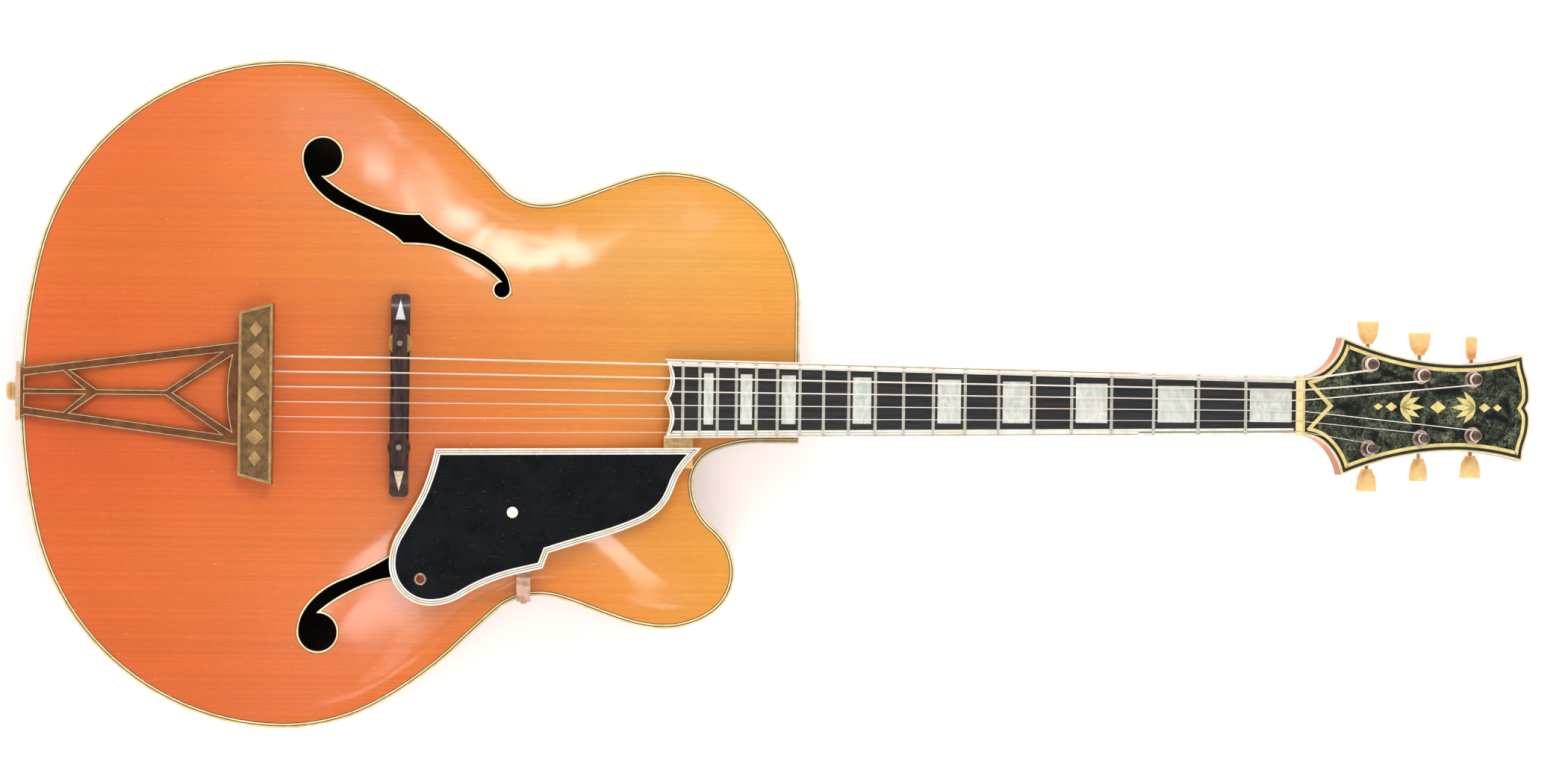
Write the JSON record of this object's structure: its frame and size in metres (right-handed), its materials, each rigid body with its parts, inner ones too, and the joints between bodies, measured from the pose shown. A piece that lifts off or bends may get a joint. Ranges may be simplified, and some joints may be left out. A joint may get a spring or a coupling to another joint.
{
  "type": "archtop guitar",
  "caption": "Archtop guitar with a cutaway, a carved top with f-holes, a raised pickguard, a bridge on thumbwheels, a pierced metal tailpiece and geared tuners; played by plucking its strings.",
  "frame": {"origin": "under the middle of the guitar's overall box, on the floor it lies on", "axes": "+X along the neck towards the headstock, +Y to the bass side, +Z out of the top"},
  "size_m": [1.105, 0.4826, 0.1558],
  "materials": {
    "spruce_top": "glossy lacquer",
    "amber_maple": "glossy lacquer",
    "inner_wood": "bare",
    "neck_maple": "glossy lacquer",
    "rosewood": "polished",
    "ebony": "oiled",
    "tan_block": "satin",
    "cream_binding": "glossy, aged",
    "white_plastic": "glossy",
    "black_plastic": "glossy",
    "amber_plastic": "glossy",
    "dark_pearloid": "glossy",
    "pearl": "pearly",
    "bone": "polished",
    "aged_brass": "aged",
    "bright_brass": "polished",
    "nickel": "aged nickel",
    "plain_steel": "bright",
    "bronze_wound": "wound"
  },
  "bodies": {
    "guitar": {"top_plate": "spruce_top", "back_plate": "amber_maple", "rim": "amber_maple", "linings": "inner_wood", "neck_block": "inner_wood", "tail_block": "inner_wood", "tone_bar": "inner_wood", "top_binding": "cream_binding", "back_binding": "cream_binding", "f_hole_bindings": "cream_binding", "tailpiece_frame": "aged_brass", "tailpiece_crossbar": "aged_brass", "end_pin": "amber_plastic", "bridge_base": "rosewood", "bridge_posts": "nickel", "bridge_inlays": "pearl", "pickguard": "black_plastic", "pickguard_binding": "white_plastic", "pickguard_bracket": "nickel", "pickguard_block": "tan_block", "neck": "neck_maple", "heel_cap": "black_plastic", "fingerboard": "ebony", "fingerboard_binding": "cream_binding", "frets": "nickel", "fingerboard_inlays": "pearl", "nut": "bone", "headstock_overlay": "dark_pearloid", "headstock_binding": "cream_binding", "tuner_housings": "nickel", "tuner_bushings": "nickel", "wood_screws": "bright_brass", "string_1": "plain_steel", "string_2": "plain_steel", "string_3": "bronze_wound", "string_4": "bronze_wound", "string_5": "bronze_wound", "string_6": "bronze_wound"},
    "saddle": {"bridge_saddle": "rosewood"},
    "bass_wheel": {"bass_thumbwheel": "bright_brass"},
    "treble_wheel": {"treble_thumbwheel": "bright_brass"},
    "key_1": {"tuner_worm_1": "nickel", "tuner_button_1": "amber_plastic"},
    "post_1": {"tuner_post_1": "nickel"},
    "key_2": {"tuner_worm_2": "nickel", "tuner_button_2": "amber_plastic"},
    "post_2": {"tuner_post_2": "nickel"},
    "key_3": {"tuner_worm_3": "nickel", "tuner_button_3": "amber_plastic"},
    "post_3": {"tuner_post_3": "nickel"},
    "key_4": {"tuner_worm_4": "nickel", "tuner_button_4": "amber_plastic"},
    "post_4": {"tuner_post_4": "nickel"},
    "key_5": {"tuner_worm_5": "nickel", "tuner_button_5": "amber_plastic"},
    "post_5": {"tuner_post_5": "nickel"},
    "key_6": {"tuner_worm_6": "nickel", "tuner_button_6": "amber_plastic"},
    "post_6": {"tuner_post_6": "nickel"}
  },
  "joints": [
    {"name": "saddle_height", "type": "slide", "parent": "guitar", "child": "saddle", "axis": [0, 0, 1], "range_m": [-0.003, 0.0035], "deforming": ["string_1", "string_2", "string_3", "string_4", "string_5", "string_6"]},
    {"name": "bass_wheel_turn", "type": "hinge", "parent": "saddle", "child": "bass_wheel", "pos_m": [-0.26564, 0.0375, 0.144], "axis": [0, 0, 1], "range_deg": [-1540, 1795]},
    {"name": "treble_wheel_turn", "type": "hinge", "parent": "saddle", "child": "treble_wheel", "pos_m": [-0.26564, -0.0375, 0.144], "axis": [0, 0, 1], "range_deg": [-1542, 1797]},
    {"name": "key_1_turn", "type": "hinge", "parent": "guitar", "child": "key_1", "pos_m": [0.4338, -0.0306, 0.06287], "axis": [0, 1, 0], "continuous": true},
    {"name": "post_1_turn", "type": "hinge", "parent": "guitar", "child": "post_1", "pos_m": [0.4335, -0.0306, 0.082], "axis": [0.309, 0, 0.9511], "continuous": true},
    {"name": "key_2_turn", "type": "hinge", "parent": "guitar", "child": "key_2", "pos_m": [0.47185, -0.0228, 0.05051], "axis": [0, 1, 0], "continuous": true},
    {"name": "post_2_turn", "type": "hinge", "parent": "guitar", "child": "post_2", "pos_m": [0.47154, -0.0228, 0.06964], "axis": [0.309, 0, 0.9511], "continuous": true},
    {"name": "key_3_turn", "type": "hinge", "parent": "guitar", "child": "key_3", "pos_m": [0.50989, -0.0204, 0.03814], "axis": [0, 1, 0], "continuous": true},
    {"name": "post_3_turn", "type": "hinge", "parent": "guitar", "child": "post_3", "pos_m": [0.50958, -0.0204, 0.05727], "axis": [0.309, 0, 0.9511], "continuous": true},
    {"name": "key_4_turn", "type": "hinge", "parent": "guitar", "child": "key_4", "pos_m": [0.50989, 0.0204, 0.03814], "axis": [0, 1, 0], "continuous": true},
    {"name": "post_4_turn", "type": "hinge", "parent": "guitar", "child": "post_4", "pos_m": [0.50958, 0.0204, 0.05727], "axis": [0.309, 0, 0.9511], "continuous": true},
    {"name": "key_5_turn", "type": "hinge", "parent": "guitar", "child": "key_5", "pos_m": [0.47185, 0.0228, 0.05051], "axis": [0, 1, 0], "continuous": true},
    {"name": "post_5_turn", "type": "hinge", "parent": "guitar", "child": "post_5", "pos_m": [0.47154, 0.0228, 0.06964], "axis": [0.309, 0, 0.9511], "continuous": true},
    {"name": "key_6_turn", "type": "hinge", "parent": "guitar", "child": "key_6", "pos_m": [0.4338, 0.0306, 0.06287], "axis": [0, 1, 0], "continuous": true},
    {"name": "post_6_turn", "type": "hinge", "parent": "guitar", "child": "post_6", "pos_m": [0.4335, 0.0306, 0.082], "axis": [0.309, 0, 0.9511], "continuous": true}
  ],
  "couplings": [
    {"joint": "saddle_height", "follows": "bass_wheel_turn", "m_per_rad": 0.00011141},
    {"joint": "treble_wheel_turn", "follows": "bass_wheel_turn", "ratio": 1},
    {"joint": "post_1_turn", "follows": "key_1_turn", "ratio": -0.071429},
    {"joint": "post_2_turn", "follows": "key_2_turn", "ratio": -0.071429},
    {"joint": "post_3_turn", "follows": "key_3_turn", "ratio": -0.071429},
    {"joint": "post_4_turn", "follows": "key_4_turn", "ratio": -0.071429},
    {"joint": "post_5_turn", "follows": "key_5_turn", "ratio": -0.071429},
    {"joint": "post_6_turn", "follows": "key_6_turn", "ratio": -0.071429}
  ]
}
